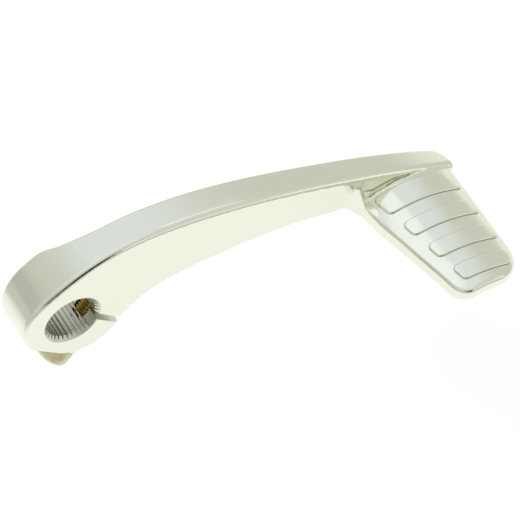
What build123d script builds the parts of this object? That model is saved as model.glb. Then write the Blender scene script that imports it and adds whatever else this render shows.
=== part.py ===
from build123d import *
import math
import os

# Kick start lever: a splined clamp boss, a curved arm and a fixed foot pedal cast in one, and its pinch bolt.
# Millimetres. The origin is the middle of the bore. The bore runs along Y and the outboard side faces -Y.
# X points from the bore to the arm's end and Z is up, towards the foot.

# Bore and boss
tooth_count = 34
spline_tip_radius = 7.1
spline_root_radius = 7.8
mouth_radius = 8.3
boss_length = 14.5
boss_radius = 14.0
collar_inset = 1.6
ear_inset = 0.8
ear_reach = 3.7

# Pinch bolt, its slit and its seat
bolt_angle = 55.0
bolt_radius = 3.0
bolt_length = 25.0
head_radius = 5.0
head_height = 6.0
head_edge_round = 0.6
socket_across_flats = 5.0
socket_depth = 3.0
shaft_gap = 0.05
bolt_setback = 6.5
seat_inset = 1.8
seat_pad_radius = 5.6
seat_depth = 0.8
flat_corner_round = 5.0
clearance_hole_radius = 3.3
thread_gap = 0.05
slit_width = 2.0
slit_offset = 2.5
ear_overlap = 3.0
relief_radius = 8.05
relief_length = 4.0
hole_overrun = 1.6

# Arm
arm_length = 120.0
arm_thickness = 9.8
tip_thickness = 7.2
crest_height = 24.4
tip_top = 7.9
tip_bottom = -1.5
belly_height = 6.4
belly_end_fall = 1.8
belly_boss_fall = 2.3
belly_root_fall = 6.4
crest_end_fall = 1.2
crest_boss_fall = 3.8
end_overrun = 4.0
end_top_fall = 1.3
end_bottom_fall = 0.3
front_edge_round = 1.8
back_edge_round = 1.0
flare_near = 5.0
flare_far = 13.0
collar_cove = 3.0

# Pedal
pedal_reach = 41.4
pedal_width = 30.7
pedal_inset = 1.6
left_taper = 0.185
right_taper = 0.035
left_tip_round = 5.0
right_tip_round = 10.0
root_depth = 0.6
tread_radius = 31.0
tread_crown = 10.3
crown_inset = 13.5
plate_thickness = 4.2
tread_edge_round = 1.5
under_edge_round = 1.0
gusset_radius = 3.2
gusset_reach = 5.0
gusset_width = 2.2
gusset_taper = 2.5
gusset_slope = 2.2
gusset_sink = 0.03
gusset_drop = 0.8
pad_count = 4
pad_width = 5.3
first_pad_width = 7.2
pad_first = 1.3
pad_tip_margin = 3.7
pad_left_margin = 3.5
pad_right_margin = 1.3
pad_corner_round = 1.5
pad_edge_round = 0.4
pad_height = 0.6

outboard = -boss_length / 2
inboard = boss_length / 2
ear_radius = boss_radius - ear_inset
collar_radius = boss_radius - collar_inset
seat_distance = boss_radius - seat_inset


def polar(radius, angle, centre=(0, 0)):
    """Point on a circle in the side view."""
    a = math.radians(angle)
    return (centre[0] + radius * math.cos(a), centre[1] + radius * math.sin(a))


def side_extrude(face, y_from, y_to):
    """Extrude a side-view face (x, z) between two y values, y_from being the inboard one."""
    plane = Plane(origin=(0, y_from, 0), x_dir=(1, 0, 0), z_dir=(0, -1, 0))
    return extrude(plane * face, amount=y_from - y_to)


# Bolt frame: "along" runs from head to tip, "across" is the way the slit opens.
along = Vector(math.cos(math.radians(bolt_angle)), 0, math.sin(math.radians(bolt_angle)))
across = Vector(math.sin(math.radians(bolt_angle)), 0, -math.cos(math.radians(bolt_angle)))
bolt_distance = spline_tip_radius + bolt_radius + shaft_gap
bolt_y = outboard + bolt_setback
bolt_foot = across * bolt_distance + Vector(0, bolt_y, 0)
seat_point = bolt_foot - along * seat_distance

# Side outline: boss circle, the flat at the bolt's head, ear circle, then the arm's underside, end and top.
ear_centre = (across.X * ear_reach, across.Z * ear_reach)
flat_distance = seat_distance + seat_depth
flat_from_angle = bolt_angle + 180 - math.degrees(math.acos(flat_distance / boss_radius))
flat_to_angle = bolt_angle + 180 + math.degrees(math.acos(flat_distance / ear_radius))
leave_angle = 128.0
meet_angle = 330.0
top_start = polar(boss_radius, leave_angle)
flat_from = polar(boss_radius, flat_from_angle)
flat_to = polar(ear_radius, flat_to_angle, ear_centre)
under_start = polar(ear_radius, meet_angle, ear_centre)
end_x = arm_length + end_overrun
end_low = tip_bottom - end_bottom_fall
end_high = tip_top - end_top_fall
boss_arc = CenterArc((0, 0), boss_radius, leave_angle, flat_from_angle - leave_angle)
flat_line = Line(flat_from, flat_to)
ear_arc = CenterArc(ear_centre, ear_radius, flat_to_angle, meet_angle - flat_to_angle)
underside = Spline(
    (end_x, end_low),
    (0.86 * arm_length, 0.30 * belly_height + 0.70 * tip_bottom),
    (0.70 * arm_length, belly_height - belly_end_fall),
    (0.50 * arm_length, belly_height),
    (0.32 * arm_length, belly_height - belly_boss_fall),
    (0.195 * arm_length, belly_height - belly_root_fall),
    under_start,
    tangents=[(-1, 0.1), (math.sin(math.radians(meet_angle)), -math.cos(math.radians(meet_angle)))],
)
top_line = Spline(
    (end_x, end_high),
    (0.84 * arm_length, 0.65 * tip_top + 0.35 * crest_height),
    (0.70 * arm_length, 0.41 * tip_top + 0.59 * crest_height),
    (0.43 * arm_length, crest_height - crest_end_fall),
    (0.215 * arm_length, crest_height),
    (0.055 * arm_length, crest_height - crest_boss_fall),
    top_start,
    tangents=[(-1, 0.32), (-math.sin(math.radians(leave_angle)), math.cos(math.radians(leave_angle)))],
)
end_line = Line((end_x, end_low), (end_x, end_high))
outline = make_face([boss_arc, flat_line, ear_arc, underside, end_line, top_line])
for corner in (flat_from, flat_to):
    outline = fillet(outline.vertices().sort_by_distance(corner)[0], flat_corner_round)
side_solid = side_extrude(outline, inboard, outboard)
front_loop = side_solid.faces().sort_by(Axis.Y)[0].edges().filter_by(lambda e: e.center().X < end_x - 0.01)
side_solid = fillet(front_loop, front_edge_round)

# The arm's thickness in plan: a flat outboard face, a back that flares out to the boss and draws in towards
# the tip, and a rounded end.
arm_back = outboard + arm_thickness
tip_back = outboard + tip_thickness
end_round = 0.85 * tip_thickness
boss_back = Line((-2 * boss_radius, inboard), (-flare_near, inboard))
flare_line = Spline(
    (-flare_near, inboard),
    (0.70 * -flare_near + 0.30 * flare_far, 0.57 * inboard + 0.43 * arm_back),
    (0.44 * -flare_near + 0.56 * flare_far, 0.23 * inboard + 0.77 * arm_back),
    (flare_far, arm_back),
    tangents=[(1, 0), (1, 0)],
)
back_straight = Line((flare_far, arm_back), (0.25 * arm_length, arm_back))
back_line = Spline(
    (0.25 * arm_length, arm_back),
    (0.62 * arm_length, 0.56 * arm_back + 0.44 * tip_back),
    (arm_length - end_round, tip_back),
    tangents=[(1, 0), (1, -0.07)],
)
end_curve = Spline(
    (arm_length - end_round, tip_back),
    (arm_length, outboard - 1),
    tangents=[(1, -0.07), (0.08, -1)],
)
front_line = Line((arm_length, outboard - 1), (-2 * boss_radius, outboard - 1))
boss_end = Line((-2 * boss_radius, outboard - 1), (-2 * boss_radius, inboard))
plan_face = make_face([boss_back, flare_line, back_straight, back_line, end_curve, front_line, boss_end])
tall = 4 * boss_radius
plan_solid = extrude(Plane.XY.offset(-tall / 2) * plan_face, amount=tall)

# The boss keeps its full length: a collar round the bore, coved into the arm's back, and the slit's ear.
cove_low = arm_back - 0.05
cove_outer = collar_radius + collar_cove
collar_half = make_face(
    [
        Line((0, inboard + 1), (collar_radius, inboard + 1)),
        Line((collar_radius, inboard + 1), (collar_radius, cove_low + collar_cove)),
        CenterArc((cove_outer, cove_low + collar_cove), collar_cove, 180, 90),
        Line((cove_outer, cove_low), (cove_outer, cove_low - 1)),
        Line((cove_outer, cove_low - 1), (0, cove_low - 1)),
        Line((0, cove_low - 1), (0, inboard + 1)),
    ]
)
collar = revolve(collar_half, Axis.Y)
slit_frame = Plane(origin=(0, 0, 0), x_dir=across, z_dir=along)
below_slit = slit_frame * Pos(0, 0, slit_offset) * Box(
    4 * boss_radius, 4 * boss_length, 4 * boss_radius, align=(Align.MIN, Align.CENTER, Align.MAX)
)
ear_zone = Pos(across * -ear_overlap) * below_slit
arm = (side_solid & plan_solid) - below_slit


def round_the_back(edge):
    """True for the edges round the arm's back, but not where the ear was taken off."""
    middle = edge.center()
    at_ear = abs(middle.dot(across)) < 0.01 or abs(middle.dot(along) - slit_offset) < 0.01
    return middle.Y > outboard + 2 and abs(edge.tangent_at(0.5).X) > 0.02 and not at_ear


arm = fillet(arm.edges().filter_by(round_the_back), back_edge_round)
collar = side_solid & collar
collar = fillet(collar.faces().sort_by(Axis.Y)[-1].edges(), back_edge_round)
ear = side_solid & ear_zone


def round_the_ear(edge):
    """True for the edges on the ear's outline, but not where it joins the boss."""
    middle = edge.center()
    return middle.dot(across) > 0.01 - ear_overlap and middle.dot(along) < slit_offset - 0.01


ear = fillet(ear.faces().sort_by(Axis.Y)[-1].edges().filter_by(round_the_ear), back_edge_round)
body = arm + collar + ear

# Foot pedal: an arched plate that stands out of the arm's outboard face and narrows to its tip.
pedal_right = arm_length - pedal_inset
pedal_left = pedal_right - pedal_width
tread_x = pedal_right - crown_inset


def left_edge(reach):
    """Pedal's left edge at a reach from the outboard face."""
    return pedal_left + left_taper * reach


def right_edge(reach):
    """Pedal's right edge at a reach from the outboard face."""
    return pedal_right - right_taper * reach


def plan_face_of(points):
    """Face in plan from (x, reach) points, reach growing outboard."""
    corners = [(x, outboard - reach) for x, reach in points]
    return make_face(Polyline(*corners, close=True))


def column(face):
    """Tall upright solid on a plan face."""
    return extrude(Plane.XY.offset(-tall / 2) * face, amount=tall)


def arch(radius):
    """Solid disc under an arch of this radius about the tread's centre line."""
    disc = Pos(tread_x, tread_crown - tread_radius) * Circle(radius)
    return side_extrude(disc, outboard + root_depth, outboard - 1.5 * pedal_reach)


pedal_plan = plan_face_of(
    [
        (left_edge(0), -root_depth),
        (left_edge(pedal_reach), pedal_reach + 0.4),
        (right_edge(pedal_reach), pedal_reach - 0.4),
        (right_edge(0), -root_depth),
    ]
)
left_tip = pedal_plan.vertices().sort_by_distance((left_edge(pedal_reach), outboard - pedal_reach))[0]
pedal_plan = fillet(left_tip, left_tip_round)
right_tip = pedal_plan.vertices().sort_by_distance((right_edge(pedal_reach), outboard - pedal_reach))[0]
pedal_plan = fillet(right_tip, right_tip_round)
under_tread = arch(tread_radius - plate_thickness)
plate = (column(pedal_plan) & arch(tread_radius)) - under_tread
plate = plate.solids().sort_by(Axis.Z)[-1]
tread_face = plate.faces().sort_by_distance((tread_x, outboard - pedal_reach / 2, tread_crown))[0]
tread_rim = tread_face.edges().filter_by(lambda e: e.center().Y < outboard)
plate = fillet(tread_rim, tread_edge_round)
under_middle = (tread_x, outboard - pedal_reach / 2, tread_crown - plate_thickness)
under_face = plate.faces().sort_by_distance(under_middle)[0]
under_rim = under_face.edges().filter_by(lambda e: e.center().Y < outboard)
plate = fillet(under_rim, under_edge_round)

# Gusset at the pedal's root: a concave wall in plan, between a slope that falls from the arm's top edge to
# the tread and a slope that falls from the arm's underside to the plate's lower edge.
def arm_heights(x):
    """Lowest and highest point of the side outline at x."""
    ends = (Line((x, -tall), (x, tall)) & outline).vertices().sort_by(Axis.Y)
    return ends[0].Y, ends[-1].Y


gusset_start = pedal_left - gusset_radius
gusset_plan = plan_face_of(
    [
        (gusset_start, -root_depth),
        (gusset_start, -gusset_sink),
        (left_edge(0), -gusset_sink),
        (left_edge(gusset_reach), gusset_reach),
        (left_edge(gusset_reach) + gusset_width, gusset_reach),
        (pedal_left + gusset_width - gusset_taper, -root_depth),
    ]
)
inner_corner = gusset_plan.vertices().sort_by_distance((left_edge(0), outboard))[0]
gusset_plan = fillet(inner_corner, gusset_radius)
slope_top = arm_heights(pedal_left)[1] - front_edge_round - gusset_drop
slope_foot = (pedal_left, outboard, slope_top)
slope_plane = Plane(origin=slope_foot, x_dir=(1, 0, -0.2), z_dir=(0.2, -gusset_slope, 1))
above_slope = slope_plane * Box(tall, 2 * tall, tall, align=(Align.CENTER, Align.CENTER, Align.MIN))
under_drop = tread_radius - plate_thickness
plate_low = tread_crown - tread_radius + math.sqrt(under_drop**2 - (tread_x - pedal_left - 1.5) ** 2)
gusset_low = arm_heights(gusset_start)[0]
fall = Vector(pedal_left - gusset_start, 0, plate_low - gusset_low)
low_plane = Plane(origin=(gusset_start, outboard, gusset_low), x_dir=fall, z_dir=fall.cross(Vector(0, 1, 0)))
below_gusset = low_plane * Box(tall, 2 * tall, tall, align=(Align.CENTER, Align.CENTER, Align.MAX))
below_plate = Pos(pedal_left, outboard, plate_low) * Box(
    tall, tall, tall, align=(Align.CENTER, Align.CENTER, Align.MAX)
)
gusset = column(gusset_plan) - above_slope - below_gusset - below_plate - under_tread

# Raised pads across the tread: the first one wider, the last one at its margin from the tip.
pad_pitch = (pedal_reach - pad_tip_margin - pad_first - first_pad_width) / (pad_count - 1)


def pad_right_end(reach):
    """Right end of a pad, drawn in where the pedal's tip is rounded."""
    into_round = max(0, reach - (pedal_reach - right_tip_round))
    tip_cut = right_tip_round - math.sqrt(right_tip_round**2 - into_round**2)
    return right_edge(reach) - pad_right_margin - tip_cut


pads = []
for index in range(pad_count):
    far = pad_first + first_pad_width + index * pad_pitch
    near = far - (pad_width if index else first_pad_width)
    pad_plan = plan_face_of(
        [
            (left_edge(near) + pad_left_margin, near),
            (left_edge(far) + pad_left_margin, far),
            (pad_right_end(far), far),
            (pad_right_end(near), near),
        ]
    )
    pad_plan = fillet(pad_plan.vertices(), pad_corner_round)
    pad = (column(pad_plan) & arch(tread_radius + pad_height)) - arch(tread_radius - 1)
    pad = pad.solids().sort_by(Axis.Z)[-1]
    pad_middle = (tread_x, outboard - (near + far) / 2, tread_crown + pad_height)
    pad_face = pad.faces().sort_by_distance(pad_middle)[0]
    pads.append(fillet(pad_face.edges(), pad_edge_round))

lever = body + gusset + plate
for pad in pads:
    lever = lever + pad

# Seat for the bolt's head: a round pad in line with the bolt on the ear, let into the flat.
bolt_frame = Plane(origin=bolt_foot, x_dir=across, z_dir=along)
seat_pad = bolt_frame * Pos(0, 0, -seat_distance) * Cylinder(
    seat_pad_radius, seat_distance - slit_offset, align=(Align.CENTER, Align.CENTER, Align.MIN)
)
lever = lever + seat_pad

# Splined bore with a chamfer at both mouths.
pitch = 360 / tooth_count
gap = make_face(
    Polyline(
        polar(spline_tip_radius - 0.5, -0.33 * pitch),
        polar(spline_root_radius, -0.12 * pitch),
        polar(spline_root_radius, 0.12 * pitch),
        polar(spline_tip_radius - 0.5, 0.33 * pitch),
        close=True,
    )
)
bore_face = Circle(spline_tip_radius) + [Rot(0, 0, pitch * i) * gap for i in range(tooth_count)]
bore = side_extrude(bore_face, inboard + 1, outboard - 1)
mouth_depth = mouth_radius - spline_tip_radius
mouth_half = make_face(
    Polyline((0, outboard - 1), (mouth_radius + 1, outboard - 1), (0, outboard + mouth_radius), close=True)
)
mouth = revolve(mouth_half, Axis.Y)
lever = lever - bore - mouth - mirror(mouth, about=Plane.XZ)

# Slit, the plain relief beside it, and the bolt's holes.
slit = slit_frame * Pos(0, 0, slit_offset) * Box(
    4 * boss_radius, 4 * boss_length, slit_width, align=(Align.MIN, Align.CENTER, Align.CENTER)
)
relief_zone = slit_frame * Pos(0, 0, slit_offset) * Box(
    4 * boss_radius, 4 * boss_length, relief_length, align=(Align.MIN, Align.CENTER, Align.MAX)
)
relief = side_extrude(Circle(relief_radius), inboard + 1, outboard - 1) & relief_zone
clearance_hole = bolt_frame * Pos(0, 0, slit_offset) * Cylinder(
    clearance_hole_radius, seat_distance + slit_offset + 1, align=(Align.CENTER, Align.CENTER, Align.MAX)
)
tip_reach = bolt_length - seat_distance
thread_hole = bolt_frame * Cylinder(
    bolt_radius + thread_gap, tip_reach + hole_overrun, align=(Align.CENTER, Align.CENTER, Align.MIN)
)
drill_point = bolt_frame * Pos(0, 0, tip_reach + hole_overrun) * Cone(
    bolt_radius + thread_gap, 0, 0.6 * bolt_radius, align=(Align.CENTER, Align.CENTER, Align.MIN)
)
head_room = bolt_frame * Pos(0, 0, -seat_distance) * Cylinder(
    seat_pad_radius, head_height, align=(Align.CENTER, Align.CENTER, Align.MAX)
)
lever = lever - slit - relief - head_room
lever = lever - (clearance_hole + thread_hole + drill_point)

# Pinch bolt: a socket head cap screw, seated on the pad.
shank = Cylinder(bolt_radius, bolt_length, align=(Align.CENTER, Align.CENTER, Align.MIN))
shank = chamfer(shank.faces().sort_by(Axis.Z)[-1].edges(), 0.18 * bolt_radius)
head = Cylinder(head_radius, head_height, align=(Align.CENTER, Align.CENTER, Align.MAX))
head = fillet(head.faces().sort_by(Axis.Z)[0].edges(), head_edge_round)
hexagon = RegularPolygon(socket_across_flats / 2, 6, major_radius=False)
socket = Pos(0, 0, -head_height) * extrude(hexagon, socket_depth)
bolt = head + shank - socket
pinch_bolt = bolt_frame * Pos(0, 0, -seat_distance) * bolt

os.makedirs("parts", exist_ok=True)
export_step(lever, "parts/lever.step")
export_step(pinch_bolt, "parts/pinch_bolt.step")
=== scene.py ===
import math

import bmesh
import bpy
from bpy.props import FloatProperty, FloatVectorProperty, IntProperty, PointerProperty
from bpy.types import Operator, Panel, PropertyGroup
from mathutils import Matrix, Vector


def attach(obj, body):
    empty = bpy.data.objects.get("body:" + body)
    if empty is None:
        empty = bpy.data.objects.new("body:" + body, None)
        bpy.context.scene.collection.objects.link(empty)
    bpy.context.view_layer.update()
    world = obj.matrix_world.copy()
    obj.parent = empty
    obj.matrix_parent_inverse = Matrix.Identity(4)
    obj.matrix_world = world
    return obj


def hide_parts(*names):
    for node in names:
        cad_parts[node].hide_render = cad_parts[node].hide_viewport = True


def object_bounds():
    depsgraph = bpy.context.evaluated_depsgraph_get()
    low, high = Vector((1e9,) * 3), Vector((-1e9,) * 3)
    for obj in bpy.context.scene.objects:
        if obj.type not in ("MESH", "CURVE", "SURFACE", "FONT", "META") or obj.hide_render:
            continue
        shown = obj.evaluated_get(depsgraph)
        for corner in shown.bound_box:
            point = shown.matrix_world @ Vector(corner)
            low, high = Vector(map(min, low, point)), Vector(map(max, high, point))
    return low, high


bl_info = {
    "name": "Kick start lever",
    "version": (1, 0, 0),
    "blender": (4, 5, 0),
    "location": "3D View > Sidebar > Kick lever",
    "description": "Dresses a kick start lever: bright plated casting, pinch bolt and studio",
    "category": "Object",
}

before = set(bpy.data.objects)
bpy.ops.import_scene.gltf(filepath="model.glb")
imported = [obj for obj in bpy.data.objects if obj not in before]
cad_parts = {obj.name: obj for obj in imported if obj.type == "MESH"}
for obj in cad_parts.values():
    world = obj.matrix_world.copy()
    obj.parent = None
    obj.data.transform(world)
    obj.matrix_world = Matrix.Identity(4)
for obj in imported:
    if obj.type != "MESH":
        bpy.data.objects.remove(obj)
cad_low, cad_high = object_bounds()
MM = 0.001

# The pedal's root, in millimetres: the box that is cut finely and the size of its cuts, a plane just in front
# of the arm's outboard face, the height at which the arm's rounded top edge starts, and a plane just left of
# the first pad.
ROOT_BOX = ((80, -16, -3), (96, -6.4, 18))
ROOT_PITCH = (0.5, 0.5, 0.5)
ARM_FACE = -7.27
ARM_EDGE = 13.7
FIRST_PAD = 90.8
# The gusset's back, its foot and the start of its lower edge: the run's ends in millimetres, its share of the
# root's softness, and how often it is smoothed.
GUSSET_RUNS = (
    (((86.6, -8.0, 13.0), (88.6, -11.2, 5.2)), 1.0, 110),
    (((88.6, -11.2, 5.2), (88.4, -10.5, 1.4)), 0.88, 110),
    (((83.6, -7.4, 5.4), (87.4, -8.2, 1.8)), 0.68, 60),
)

# The corner where the tread meets the arm's face, in millimetres: its box, the size of the cuts, its line,
# and how often each run of it is smoothed.
CORNER_BOX = ((89, -8.5, 4), (119, -6.9, 13))
CORNER_PITCH = (0.8, 0.3, 0.3)
CORNER_LINE = (
    (89.5, -7.25, 5.9), (92.5, -7.25, 7.7), (96.0, -7.25, 9.0), (100.0, -7.25, 9.9),
    (104.9, -7.25, 10.3), (110.0, -7.25, 9.9), (113.0, -7.25, 9.2), (117.5, -7.25, 7.6),
)
CORNER_PASSES = 16

# Soft fields of the room's light: the way to the field's middle, the cosines at which it starts and is full,
# and the studio's setting for its colour. A later field covers an earlier one.
ROOM_FIELDS = (
    ((-0.86, 0.50, 0.00), 0.80, 0.93, "far_left"),
    ((0.86, 0.50, 0.00), 0.915, 0.955, "far_right"),
    ((0.45, -0.55, 0.70), 0.80, 0.98, "near_side"),
    ((-0.05, 0.53, 0.85), 0.78, 0.97, "overhead"),
    ((-0.25, -0.10, 0.96), 0.76, 0.97, "skylight"),
    ((-0.48, -0.82, 0.31), 0.950, 0.985, "front_left"),
    ((-0.14, -0.97, 0.20), 0.945, 0.980, "front_dark"),
    ((0.19, -0.96, 0.20), 0.982, 0.995, "front_flash"),
    ((0.44, -0.86, 0.25), 0.972, 0.990, "front_right"),
    ((0.70, -0.67, 0.26), 0.978, 0.992, "right_flash"),
)


class LeverFinish(PropertyGroup):
    """Finish of the plated casting."""

    tint: FloatVectorProperty(
        name="Plating colour", description="Colour of the bright plating",
        default=(0.86, 0.87, 0.74), size=3, subtype="COLOR", min=0.0, max=1.0)
    bare_tint: FloatVectorProperty(
        name="Machined colour", description="Colour of the plating in the broached bore and the sawn slit",
        default=(0.72, 0.73, 0.63), size=3, subtype="COLOR", min=0.0, max=1.0)
    # Painted shade: the plating's colour is darkened towards this tone in inner corners and creases, where
    # shade falls.
    painted_shade_tint: FloatVectorProperty(
        name="Crease colour", description="Duller tone of the plating deep in an inner corner",
        default=(0.36, 0.36, 0.30), size=3, subtype="COLOR", min=0.0, max=1.0)
    painted_shade_reach: FloatProperty(
        name="Crease reach", description="How far the duller tone reaches from an inner corner",
        default=0.7 * MM, unit="LENGTH")
    gloss_low: FloatProperty(
        name="Roughness, polished", description="Roughness where the polish is best",
        default=0.11, min=0.0, max=1.0, subtype="FACTOR")
    gloss_high: FloatProperty(
        name="Roughness, hazy", description="Roughness where the polish is hazy",
        default=0.17, min=0.0, max=1.0, subtype="FACTOR")
    machined: FloatProperty(
        name="Roughness, machined", description="Roughness of the broached bore and the sawn slit",
        default=0.4, min=0.0, max=1.0, subtype="FACTOR")
    ripple: FloatProperty(
        name="Polish ripple", description="Strength of the slight waves left by hand polishing",
        default=0.03, min=0.0, max=1.0, subtype="FACTOR")
    crease_angle: FloatProperty(
        name="Crease angle", description="Edges sharper than this stay crisp",
        default=math.radians(28), subtype="ANGLE")
    bore_radius: FloatProperty(
        name="Bore", description="Radius round the bore's axis that is left as broached",
        default=8.4 * MM, unit="LENGTH")
    slit_place: FloatProperty(
        name="Slit", description="Distance of the slit's middle from the bore's axis",
        default=2.5 * MM, unit="LENGTH")
    slit_width: FloatProperty(
        name="Slit width", description="Width of the slit",
        default=2.0 * MM, unit="LENGTH")
    root_reach: FloatProperty(
        name="Root softness", description="How far the cast metal is rounded at the pedal's root",
        default=5.0 * MM, unit="LENGTH")
    corner_reach: FloatProperty(
        name="Corner softness", description="How far the corner between arm and tread is rounded",
        default=1.25 * MM, unit="LENGTH")


class BoltSizes(PropertyGroup):
    """Sizes and colours of the pinch bolt."""

    angle: FloatProperty(
        name="Angle", description="Tilt of the bolt from the arm's direction",
        default=math.radians(55), subtype="ANGLE")
    offset: FloatProperty(
        name="Offset", description="Distance of the bolt's axis from the bore's axis",
        default=10.15 * MM, unit="LENGTH")
    depth: FloatProperty(
        name="Depth", description="Place of the bolt's axis along the bore",
        default=-0.75 * MM, unit="LENGTH")
    seat: FloatProperty(
        name="Seat", description="Distance from the bolt's middle to the seat of its head",
        default=12.2 * MM, unit="LENGTH")
    length: FloatProperty(
        name="Shank length", description="Length under the head",
        default=25 * MM, unit="LENGTH")
    radius: FloatProperty(
        name="Thread radius", description="Radius over the thread's crests",
        default=2.98 * MM, unit="LENGTH")
    root: FloatProperty(
        name="Root radius", description="Radius of the thread's root",
        default=2.45 * MM, unit="LENGTH")
    pitch: FloatProperty(
        name="Pitch", description="Distance from crest to crest",
        default=1.0 * MM, unit="LENGTH")
    head_radius: FloatProperty(
        name="Head radius", description="Radius over the knurl",
        default=4.98 * MM, unit="LENGTH")
    head_height: FloatProperty(
        name="Head height", description="Height of the head",
        default=6.0 * MM, unit="LENGTH")
    knurls: IntProperty(
        name="Knurls", description="Ridges round the head",
        default=60, min=12, max=120)
    knurl_depth: FloatProperty(
        name="Knurl depth", description="Depth between two ridges",
        default=0.2 * MM, unit="LENGTH")
    socket_flats: FloatProperty(
        name="Socket", description="Width across the socket's flats",
        default=5.0 * MM, unit="LENGTH")
    socket_depth: FloatProperty(
        name="Socket depth", description="Depth of the socket",
        default=3.0 * MM, unit="LENGTH")
    plating: FloatVectorProperty(
        name="Plating colour", description="Colour of the yellow zinc",
        default=(0.70, 0.67, 0.46), size=3, subtype="COLOR", min=0.0, max=1.0)
    stain: FloatVectorProperty(
        name="Stain colour", description="Darker tone in the yellow zinc",
        default=(0.61, 0.56, 0.36), size=3, subtype="COLOR", min=0.0, max=1.0)
    # Painted shade: the shank sits in the dark bolt hole, and this darker, browner tone stands in for that
    # shade.
    shank_painted_shade: FloatVectorProperty(
        name="Shank colour", description="Browner tone of the zinc on the shank",
        default=(0.44, 0.31, 0.10), size=3, subtype="COLOR", min=0.0, max=1.0)


class StudioSetup(PropertyGroup):
    """Floor, light and camera."""

    floor_drop: FloatProperty(
        name="Floor drop", description="Height of the lever over the floor",
        default=0.03, unit="LENGTH")
    floor_size: FloatProperty(
        name="Floor size", description="Width of the floor",
        default=6.0, unit="LENGTH")
    # Painted shade: the floor's glow falls to this dimmer tone far to the left and to the front.
    floor_dim: FloatVectorProperty(
        name="Floor's dim part", description="Colour of the floor far to the left and to the front",
        default=(0.52, 0.525, 0.51), size=3, subtype="COLOR")
    lens: FloatProperty(
        name="Lens", description="Focal length in millimetres",
        default=184.2)
    camera_place: FloatVectorProperty(
        name="Camera", description="Place of the camera",
        default=(-0.2360, -0.38262, 0.54642), size=3, subtype="TRANSLATION")
    camera_aim: FloatVectorProperty(
        name="Aim", description="Point in the middle of the picture",
        default=(0.05073, -0.01636, 0.01), size=3, subtype="TRANSLATION")
    camera_roll: FloatProperty(
        name="Roll", description="Tilt of the picture",
        default=math.radians(10.65), subtype="ANGLE")
    lamp_power: FloatProperty(
        name="Softbox power", description="Power of the overhead softbox in watts",
        default=16.0, min=0.0)
    tread_power: FloatProperty(
        name="Tread softbox power", description="Power of the small softbox over the tread in watts",
        default=0.0016, min=0.0, precision=4)
    room: FloatVectorProperty(
        name="Room", description="Colour of the room around",
        default=(0.66, 0.665, 0.64), size=3, subtype="COLOR")
    overhead: FloatVectorProperty(
        name="Overhead", description="Colour of the lit wall behind and above",
        default=(0.80, 0.84, 0.92), size=3, subtype="COLOR")
    skylight: FloatVectorProperty(
        name="Skylight", description="Colour of the bright field straight above",
        default=(0.85, 0.87, 0.88), size=3, subtype="COLOR")
    near_side: FloatVectorProperty(
        name="Near side", description="Colour of the room's side in front of the lever",
        default=(0.70, 0.71, 0.70), size=3, subtype="COLOR")
    far_left: FloatVectorProperty(
        name="Far left", description="Colour of the room's dim left end",
        default=(0.53, 0.535, 0.52), size=3, subtype="COLOR")
    far_right: FloatVectorProperty(
        name="Far right", description="Colour of the white sweep's right end",
        default=(0.93, 0.93, 0.90), size=3, subtype="COLOR")
    front_left: FloatVectorProperty(
        name="Front left", description="Colour of the dim field in front, to the left",
        default=(0.36, 0.36, 0.35), size=3, subtype="COLOR")
    front_dark: FloatVectorProperty(
        name="Front, dark", description="Colour of the field that draws the dark stroke along the arm's edge",
        default=(0.01, 0.01, 0.01), size=3, subtype="COLOR")
    front_flash: FloatVectorProperty(
        name="Front, bright", description="Colour of the small bright field beside the dark one",
        default=(1.0, 1.0, 1.0), size=3, subtype="COLOR")
    front_right: FloatVectorProperty(
        name="Front right", description="Colour of the pale field in front, to the right",
        default=(0.85, 0.85, 0.82), size=3, subtype="COLOR")
    right_flash: FloatVectorProperty(
        name="Right, bright", description="Colour of the small bright field at the right",
        default=(1.05, 1.05, 1.0), size=3, subtype="COLOR")


def place_piece(name, bm, material):
    """Make an object of a finished bmesh, with its faces smooth."""
    for face in bm.faces:
        face.smooth = True
    mesh = bpy.data.meshes.new(name)
    bm.to_mesh(mesh)
    bm.free()
    mesh.materials.append(material)
    piece = bpy.data.objects.new(name, mesh)
    bpy.context.scene.collection.objects.link(piece)
    return piece


def crease(bm, angle):
    """Keep the edges sharper than angle crisp."""
    for edge in bm.edges:
        edge.smooth = edge.is_manifold and edge.calc_face_angle(0.0) < angle


def bolt_ways(angle):
    """Directions along the bolt and across it, away from the bore."""
    along = Vector((math.cos(angle), 0, math.sin(angle)))
    across = Vector((math.sin(angle), 0, -math.cos(angle)))
    return along, across


def new_material(name):
    """A node material with its tree and its shader."""
    material = bpy.data.materials.new(name)
    material.use_nodes = True
    tree = material.node_tree
    return material, tree, tree.nodes["Principled BSDF"]


def own_point(tree):
    """Place of a point on the piece, in the piece's own coordinates."""
    return tree.nodes.new("ShaderNodeTexCoord").outputs["Object"]


def noise_value(tree, scale, detail, stretch=(1.0, 1.0, 1.0)):
    """Noise on the piece's own coordinates."""
    mapping = tree.nodes.new("ShaderNodeMapping")
    mapping.inputs["Scale"].default_value = stretch
    noise = tree.nodes.new("ShaderNodeTexNoise")
    noise.inputs["Scale"].default_value = scale
    noise.inputs["Detail"].default_value = detail
    tree.links.new(own_point(tree), mapping.inputs["Vector"])
    tree.links.new(mapping.outputs["Vector"], noise.inputs["Vector"])
    return noise.outputs["Fac"]


def spread(tree, noise, low, high):
    """Spread the middle range of a noise between two values."""
    limits = tree.nodes.new("ShaderNodeMapRange")
    limits.inputs["From Min"].default_value = 0.3
    limits.inputs["From Max"].default_value = 0.7
    limits.inputs["To Min"].default_value = low
    limits.inputs["To Max"].default_value = high
    tree.links.new(noise, limits.inputs["Value"])
    return limits.outputs["Result"]


def give(tree, slot, value):
    """Link a socket to a slot, or set a plain value there."""
    if isinstance(value, bpy.types.NodeSocket):
        tree.links.new(value, slot)
    else:
        slot.default_value = value


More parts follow.
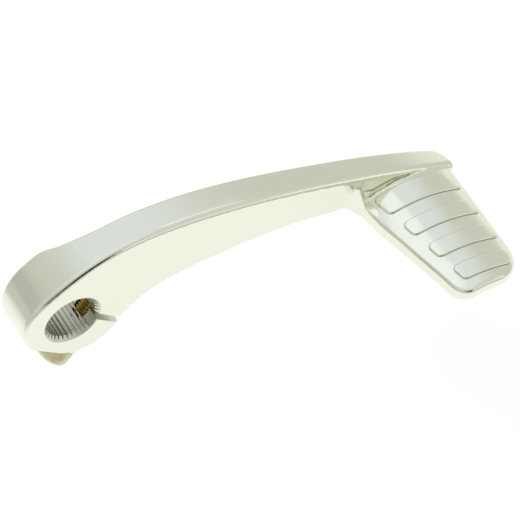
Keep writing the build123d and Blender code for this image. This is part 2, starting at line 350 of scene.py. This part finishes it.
def join(tree, operation, first, second=0.0):
    """Math node on one or two values, each a socket or a number."""
    node = tree.nodes.new("ShaderNodeMath")
    node.operation = operation
    give(tree, node.inputs[0], first)
    give(tree, node.inputs[1], second)
    return node.outputs["Value"]


def mix_tones(tree, share, first, second):
    """Go from the first tone to the second by a share, each tone a socket or four numbers."""
    node = tree.nodes.new("ShaderNodeMix")
    node.data_type = "RGBA"
    tree.links.new(share, node.inputs["Factor"])
    give(tree, node.inputs["A"], first)
    give(tree, node.inputs["B"], second)
    return node.outputs["Result"]


def along_way(tree, point, way):
    """How far a point lies along a direction."""
    node = tree.nodes.new("ShaderNodeVectorMath")
    node.operation = "DOT_PRODUCT"
    node.inputs[1].default_value = way
    tree.links.new(point, node.inputs[0])
    return node.outputs["Value"]


def ease(tree, value, low, high):
    """Nought below low, one above high and a soft step between."""
    node = tree.nodes.new("ShaderNodeMapRange")
    node.interpolation_type = "SMOOTHSTEP"
    node.inputs["From Min"].default_value = low
    node.inputs["From Max"].default_value = high
    tree.links.new(value, node.inputs["Value"])
    return node.outputs["Result"]


def machined_share(tree, look, angle):
    """One in the broached bore and the sawn slit, nought on the polished outside."""
    point = own_point(tree)
    side = along_way(tree, point, (1, 0, 0))
    height = along_way(tree, point, (0, 0, 1))
    squares = join(tree, "ADD", join(tree, "MULTIPLY", side, side), join(tree, "MULTIPLY", height, height))
    bore = join(tree, "LESS_THAN", join(tree, "SQRT", squares), look.bore_radius)
    along, across = bolt_ways(angle)
    off = join(tree, "ABSOLUTE", join(tree, "SUBTRACT", along_way(tree, point, along), look.slit_place))
    open_side = join(tree, "GREATER_THAN", along_way(tree, point, across), 0.0)
    slit = join(tree, "MULTIPLY", join(tree, "LESS_THAN", off, 0.51 * look.slit_width), open_side)
    return join(tree, "MAXIMUM", bore, slit)


def bright_plating(look, angle):
    """Polished bright plating with a slight haze and polishing waves, duller where it is machined, with
    painted shade in its inner corners.
    """
    material, tree, shader = new_material("bright_plating")
    shader.inputs["Metallic"].default_value = 1.0
    machined = machined_share(tree, look, angle)
    tone = mix_tones(tree, machined, (*look.tint, 1.0), (*look.bare_tint, 1.0))
    # Painted shade: an ambient occlusion mask darkens the colour in the inner corners and creases.
    corner = tree.nodes.new("ShaderNodeAmbientOcclusion")
    corner.inputs["Distance"].default_value = look.painted_shade_reach
    corner.only_local = True
    openness = join(tree, "MAXIMUM", ease(tree, corner.outputs["AO"], 0.35, 0.95), machined)
    tone = mix_tones(tree, openness, (*look.painted_shade_tint, 1.0), tone)
    tree.links.new(tone, shader.inputs["Base Color"])
    haze = noise_value(tree, scale=55.0, detail=3.0)
    duller = tree.nodes.new("ShaderNodeMix")
    tree.links.new(machined, duller.inputs["Factor"])
    tree.links.new(spread(tree, haze, look.gloss_low, look.gloss_high), duller.inputs["A"])
    duller.inputs["B"].default_value = look.machined
    tree.links.new(duller.outputs["Result"], shader.inputs["Roughness"])
    bump = tree.nodes.new("ShaderNodeBump")
    bump.inputs["Strength"].default_value = look.ripple
    bump.inputs["Distance"].default_value = 0.4 * MM
    waves = noise_value(tree, scale=90.0, detail=2.0, stretch=(1.0, 1.6, 1.6))
    tree.links.new(waves, bump.inputs["Height"])
    tree.links.new(bump.outputs["Normal"], shader.inputs["Normal"])
    return material


def yellow_zinc(bolt):
    """Yellow zinc plating, cloudy between two tones on the head, with painted shade that makes the shank
    darker and browner.
    """
    material, tree, shader = new_material("yellow_zinc")
    shader.inputs["Metallic"].default_value = 1.0
    cloud = noise_value(tree, scale=420.0, detail=4.0)
    tones = tree.nodes.new("ShaderNodeValToRGB")
    stained, clean = tones.color_ramp.elements
    stained.position, stained.color = 0.32, (*bolt.stain, 1.0)
    clean.position, clean.color = 0.58, (*bolt.plating, 1.0)
    tree.links.new(cloud, tones.inputs["Fac"])
    # Painted shade: from a little under the head's seat onwards, the colour goes to the shank's darker tone.
    lift = along_way(tree, own_point(tree), bolt_ways(bolt.angle)[0])
    shank = ease(tree, lift, 1.0 * MM - bolt.seat, 3.0 * MM - bolt.seat)
    tone = mix_tones(tree, shank, tones.outputs["Color"], (*bolt.shank_painted_shade, 1.0))
    tree.links.new(tone, shader.inputs["Base Color"])
    tree.links.new(spread(tree, cloud, 0.42, 0.26), shader.inputs["Roughness"])
    return material


def cut_fine(bm, box, pitch):
    """Cut the faces that reach into a box along a grid of planes, and give back the verts inside it."""
    low, high, pitch = (Vector(size) * MM for size in (*box, pitch))
    geom = {}
    for face in bm.faces:
        spans = [[vert.co[axis] for vert in face.verts] for axis in range(3)]
        if all(max(span) > low[axis] and min(span) < high[axis] for axis, span in enumerate(spans)):
            geom.update(dict.fromkeys((face, *face.edges, *face.verts)))
    geom = list(geom)
    for axis in range(3):
        normal = Matrix.Identity(3)[axis]
        # A vert this near to a plane counts as on it, so that no sliver is cut off.
        near = 0.2 * pitch[axis]
        for step in range(int((high[axis] - low[axis]) / pitch[axis]) + 1):
            place = normal * (low[axis] + step * pitch[axis])
            made = bmesh.ops.bisect_plane(bm, geom=geom, dist=near, plane_co=place, plane_no=normal)
            geom = made["geom"]
    bmesh.ops.triangulate(bm, faces=[g for g in geom if isinstance(g, bmesh.types.BMFace)])
    return [v for v in bm.verts if all(low[axis] < v.co[axis] < high[axis] for axis in range(3))]


def soften(bm, verts, run, reach, passes):
    """Smooth the metal round a straight run, most near its middle line."""
    start, end = (Vector(point) * MM for point in run)
    way = end - start
    apart = []
    for vert in verts:
        share = max(0.0, min(1.0, (vert.co - start).dot(way) / way.length_squared))
        apart.append((vert.co - start - way * share).length)
    core, stride = 0.45, 7
    for step in range(passes):
        # The reach jumps between the core and the whole from pass to pass.
        limit = reach * (core + (1 - core) * (stride * step % passes) / passes)
        near = [vert for vert, gap in zip(verts, apart) if gap < limit]
        bmesh.ops.smooth_vert(bm, verts=near, factor=0.5, use_axis_x=True, use_axis_y=True, use_axis_z=True)


def soften_pedal_root(bm, look):
    """Round the gusset and the corner along the tread, but not the arm's top edge or the first pad."""
    verts = cut_fine(bm, ROOT_BOX, ROOT_PITCH)
    edge_start = ARM_EDGE * MM
    verts = [v for v in verts if v.co.x < FIRST_PAD * MM and (v.co.y < ARM_FACE * MM or v.co.z < edge_start)]
    for run, share, passes in GUSSET_RUNS:
        soften(bm, verts, run, share * look.root_reach, passes)
    verts = cut_fine(bm, CORNER_BOX, CORNER_PITCH)
    for run in zip(CORNER_LINE, CORNER_LINE[1:]):
        soften(bm, verts, run, look.corner_reach, CORNER_PASSES)


class KICKLEVER_OT_casting(Operator):
    """Soften the pedal's root and dress the casting in bright plating"""

    bl_idname = "kicklever.casting"
    bl_label = "Casting"

    def execute(self, context):
        look = context.scene.kick_lever_finish
        bm = bmesh.new()
        bm.from_mesh(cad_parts["lever"].data)
        bmesh.ops.remove_doubles(bm, verts=bm.verts, dist=0.002 * MM)
        soften_pedal_root(bm, look)
        crease(bm, look.crease_angle)
        piece = place_piece("lever_casting", bm, bright_plating(look, context.scene.kick_lever_bolt.angle))
        weighted = piece.modifiers.new("even_normals", "WEIGHTED_NORMAL")
        weighted.keep_sharp = True
        weighted.weight = 50
        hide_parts("lever")
        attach(piece, "root")
        return {"FINISHED"}


def loop_edges(verts):
    """Edges that join these verts."""
    chosen = set(verts)
    touching = dict.fromkeys(edge for vert in verts for edge in vert.link_edges)
    return [edge for edge in touching if all(vert in chosen for vert in edge.verts)]


def next_ring(bm, verts, shape, height):
    """Extrude a ring to a height, and to a radius that is a number or depends on the angle."""
    made = bmesh.ops.extrude_edge_only(bm, edges=loop_edges(verts))
    ring = [g for g in made["geom"] if isinstance(g, bmesh.types.BMVert)]
    for vert in ring:
        turn = math.atan2(vert.co.y, vert.co.x)
        radius = shape(turn) if callable(shape) else shape
        vert.co = Vector((radius * math.cos(turn), radius * math.sin(turn), height))
    return ring


def close_rings(bm, verts, rings):
    """Extrude through a list of rings, each a shape and a height, and close the last one."""
    for shape, height in rings:
        verts = next_ring(bm, verts, shape, height)
    bmesh.ops.contextual_create(bm, geom=loop_edges(verts))


def add_head(bm, bolt):
    """Knurled head with a hexagon socket, its seat at zero and its top below."""
    count = 2 * bolt.knurls
    step = 2 * math.pi / count
    plain = bolt.head_radius - bolt.knurl_depth
    top = -bolt.head_height
    floor = top + bolt.socket_depth
    chamfer, mouth = 0.3 * MM, 0.2 * MM
    drill_radius, drill_depth = 0.3 * MM, 1.1 * MM

    def knurl(turn):
        return bolt.head_radius - (bolt.knurl_depth if round(turn / step) % 2 else 0.0)

    def hexagon(turn):
        return bolt.socket_flats / 2 / math.cos((turn + math.pi / 6) % (math.pi / 3) - math.pi / 6)

    def socket_mouth(turn):
        return hexagon(turn) + mouth

    made = bmesh.ops.create_circle(bm, cap_ends=True, segments=count, radius=plain - chamfer)
    close_rings(bm, made["verts"], (
        (knurl, -0.45 * MM),
        (knurl, top + 0.95 * MM),
        # The round at the top, from the side to the end face.
        (plain, top + 0.7 * MM),
        (plain - 0.1 * MM, top + 0.33 * MM),
        (plain - 0.28 * MM, top + 0.1 * MM),
        (plain - 0.55 * MM, top),
        # The socket, down to the point of its drilled hole.
        (socket_mouth, top),
        (hexagon, top + mouth),
        (hexagon, floor),
        (drill_radius, floor + drill_depth),
    ))


def add_shank(bm, bolt):
    """Core of the shank with a neck under the head and a chamfered tip."""
    chamfer = 0.5 * MM
    start = Matrix.Translation((0, 0, -0.5 * MM))
    made = bmesh.ops.create_circle(bm, cap_ends=True, segments=48, radius=bolt.radius, matrix=start)
    close_rings(bm, made["verts"], (
        (bolt.radius, 0.9 * MM),
        (bolt.root, 1.4 * MM),
        (bolt.root, bolt.length - chamfer),
        (bolt.root - chamfer, bolt.length),
    ))


def add_thread(bm, bolt):
    """Helical ridge round the core, closed at both ends."""
    start, steps = 1.2 * MM, 24
    turns = int((bolt.length - start - 1.2 * MM) / bolt.pitch)
    inner = bolt.root - 0.15 * MM
    half = 0.47 * bolt.pitch
    foot = half + 0.09 * MM
    flat = 0.07 * bolt.pitch
    corners = [(inner, -foot), (bolt.radius, -flat), (bolt.radius, flat), (inner, foot)]
    verts = [bm.verts.new((radius, 0.0, start + half + height)) for radius, height in corners]
    bm.faces.new(verts)
    swept = bmesh.ops.spin(
        bm, geom=verts + loop_edges(verts), cent=(0, 0, 0), axis=(0, 0, 1), dvec=(0, 0, bolt.pitch / steps),
        angle=2 * math.pi * turns, steps=turns * steps, use_merge=False)
    last = [g for g in swept["geom_last"] if isinstance(g, bmesh.types.BMVert)]
    bmesh.ops.contextual_create(bm, geom=loop_edges(last))


class KICKLEVER_OT_pinch_bolt(Operator):
    """Make the pinch bolt: knurled head, hexagon socket and thread"""

    bl_idname = "kicklever.pinch_bolt"
    bl_label = "Pinch bolt"

    def execute(self, context):
        bolt = context.scene.kick_lever_bolt
        bm = bmesh.new()
        add_head(bm, bolt)
        add_shank(bm, bolt)
        add_thread(bm, bolt)
        bmesh.ops.recalc_face_normals(bm, faces=bm.faces)
        along, across = bolt_ways(bolt.angle)
        place = Matrix((across, (0, 1, 0), along)).transposed().to_4x4()
        place.translation = across * bolt.offset - along * bolt.seat + Vector((0, bolt.depth, 0))
        bmesh.ops.transform(bm, matrix=place, verts=bm.verts)
        crease(bm, math.radians(26))
        piece = place_piece("pinch_bolt_threaded", bm, yellow_zinc(bolt))
        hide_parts("pinch_bolt")
        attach(piece, "root")
        return {"FINISHED"}


def room_light(studio):
    """Soft room that the plating mirrors: paler and darker fields on an even ground."""
    world = bpy.data.worlds.new("studio_room")
    world.use_nodes = True
    tree = world.node_tree
    way = tree.nodes.new("ShaderNodeTexCoord").outputs["Generated"]
    shade = (*studio.room, 1.0)
    for aim, start, full, setting in ROOM_FIELDS:
        share = ease(tree, along_way(tree, way, Vector(aim).normalized()), start, full)
        shade = mix_tones(tree, share, shade, (*getattr(studio, setting), 1.0))
    background = tree.nodes["Background"]
    tree.links.new(shade, background.inputs["Color"])
    background.inputs["Strength"].default_value = 1.0
    bpy.context.scene.world = world


def white_floor_finish(studio):
    """Sweep that looks white to the eye and in the metal, takes the shadow, and has painted shade that dims
    it to left and front.
    """
    material, tree, shader = new_material("white_sweep")
    shader.inputs["Base Color"].default_value = (0.9, 0.9, 0.9, 1.0)
    shader.inputs["Roughness"].default_value = 0.9
    point = own_point(tree)
    # Painted shade: the floor's glow dims towards the left and the front.
    left = ease(tree, along_way(tree, point, (1, 0, 0)), -0.15, -0.035)
    front = ease(tree, along_way(tree, point, (0, 1, 0)), -0.19, -0.10)
    lit = join(tree, "MULTIPLY", left, front)
    tone = mix_tones(tree, lit, (*studio.floor_dim, 1.0), (1.0, 1.0, 1.0, 1.0))
    glow = tree.nodes.new("ShaderNodeEmission")
    tree.links.new(tone, glow.inputs["Color"])
    glow.inputs["Strength"].default_value = 1.0
    path = tree.nodes.new("ShaderNodeLightPath").outputs
    seen = join(tree, "MAXIMUM", path["Is Camera Ray"], path["Is Glossy Ray"])
    seen = join(tree, "MAXIMUM", seen, path["Is Transmission Ray"])
    glow_share = 0.9
    mix = tree.nodes.new("ShaderNodeMixShader")
    tree.links.new(join(tree, "MULTIPLY", seen, glow_share), mix.inputs["Fac"])
    tree.links.new(shader.outputs["BSDF"], mix.inputs[1])
    tree.links.new(glow.outputs["Emission"], mix.inputs[2])
    tree.links.new(mix.outputs["Shader"], tree.nodes["Material Output"].inputs["Surface"])
    return material


def turn_towards(aim, place):
    """Rotation of a lamp or camera that looks from its place to its aim."""
    return (Vector(aim) - Vector(place)).to_track_quat("-Z", "Y")


def add_softbox(name, size, place, aim, power):
    """Rectangular lamp, turned to what it lights and hidden from the camera."""
    lamp = bpy.data.lights.new(name, "AREA")
    lamp.shape = "RECTANGLE"
    lamp.size, lamp.size_y = size
    lamp.energy = power
    softbox = bpy.data.objects.new(name, lamp)
    softbox.location = place
    softbox.rotation_mode = "QUATERNION"
    softbox.rotation_quaternion = turn_towards(aim, place)
    softbox.visible_camera = False
    bpy.context.scene.collection.objects.link(softbox)
    return softbox


def add_camera(studio):
    """Camera at the photograph's angle, tilted by its roll."""
    lens = bpy.data.cameras.new("camera")
    lens.lens = studio.lens
    lens.sensor_width = 36.0
    lens.clip_start = 0.01
    camera = bpy.data.objects.new("camera", lens)
    camera.location = studio.camera_place
    camera.rotation_mode = "QUATERNION"
    level = turn_towards(studio.camera_aim, studio.camera_place).to_matrix()
    camera.rotation_quaternion = (level @ Matrix.Rotation(studio.camera_roll, 3, "Z")).to_quaternion()
    bpy.context.scene.collection.objects.link(camera)
    bpy.context.scene.camera = camera


class KICKLEVER_OT_studio(Operator):
    """Set up the floor, the light and the camera"""

    bl_idname = "kicklever.studio"
    bl_label = "Studio"

    def execute(self, context):
        studio = context.scene.kick_lever_studio
        bm = bmesh.new()
        bmesh.ops.create_grid(bm, x_segments=1, y_segments=1, size=studio.floor_size / 2)
        bmesh.ops.translate(bm, verts=bm.verts, vec=(0, 0, cad_low.z - studio.floor_drop))
        floor = place_piece("studio_floor", bm, white_floor_finish(studio))
        room_light(studio)
        softbox = add_softbox(
            "overhead_softbox", size=(0.9, 0.6), place=(-0.35, 0.25, 1.1), aim=(0.05, 0, 0),
            power=studio.lamp_power)
        softbox.visible_glossy = False
        add_softbox(
            "tread_softbox", size=(0.06, 0.045), place=(0.078, 0.016, 0.097), aim=(0.094, -0.027, 0.008),
            power=studio.tread_power)
        add_camera(studio)
        context.scene.view_settings.view_transform = "Standard"
        return {"FINISHED"}


GROUPS = {
    "kick_lever_finish": LeverFinish,
    "kick_lever_bolt": BoltSizes,
    "kick_lever_studio": StudioSetup,
}
OPERATORS = (KICKLEVER_OT_casting, KICKLEVER_OT_pinch_bolt, KICKLEVER_OT_studio)


class KICKLEVER_PT_sidebar(Panel):
    """Sizes and buttons for the kick start lever"""

    bl_idname = "KICKLEVER_PT_sidebar"
    bl_label = "Kick start lever"
    bl_space_type = "VIEW_3D"
    bl_region_type = "UI"
    bl_category = "Kick lever"

    def draw(self, context):
        for (owner, group), operator in zip(GROUPS.items(), OPERATORS):
            box = self.layout.box()
            for name in group.__annotations__:
                box.prop(getattr(context.scene, owner), name)
            box.operator(operator.bl_idname)


def register():
    """Register the classes and hang their settings on the scene."""
    for name, group in GROUPS.items():
        bpy.utils.register_class(group)
        setattr(bpy.types.Scene, name, PointerProperty(type=group))
    for panel_or_operator in (*OPERATORS, KICKLEVER_PT_sidebar):
        bpy.utils.register_class(panel_or_operator)


def unregister():
    """Take the classes and their settings away again."""
    for panel_or_operator in (KICKLEVER_PT_sidebar, *reversed(OPERATORS)):
        bpy.utils.unregister_class(panel_or_operator)
    for name, group in GROUPS.items():
        delattr(bpy.types.Scene, name)
        bpy.utils.unregister_class(group)


def main():
    """Register the classes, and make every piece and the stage."""
    register()
    bpy.ops.kicklever.casting()
    bpy.ops.kicklever.pinch_bolt()
    bpy.ops.kicklever.studio()


if __name__ == "__main__":
    main()
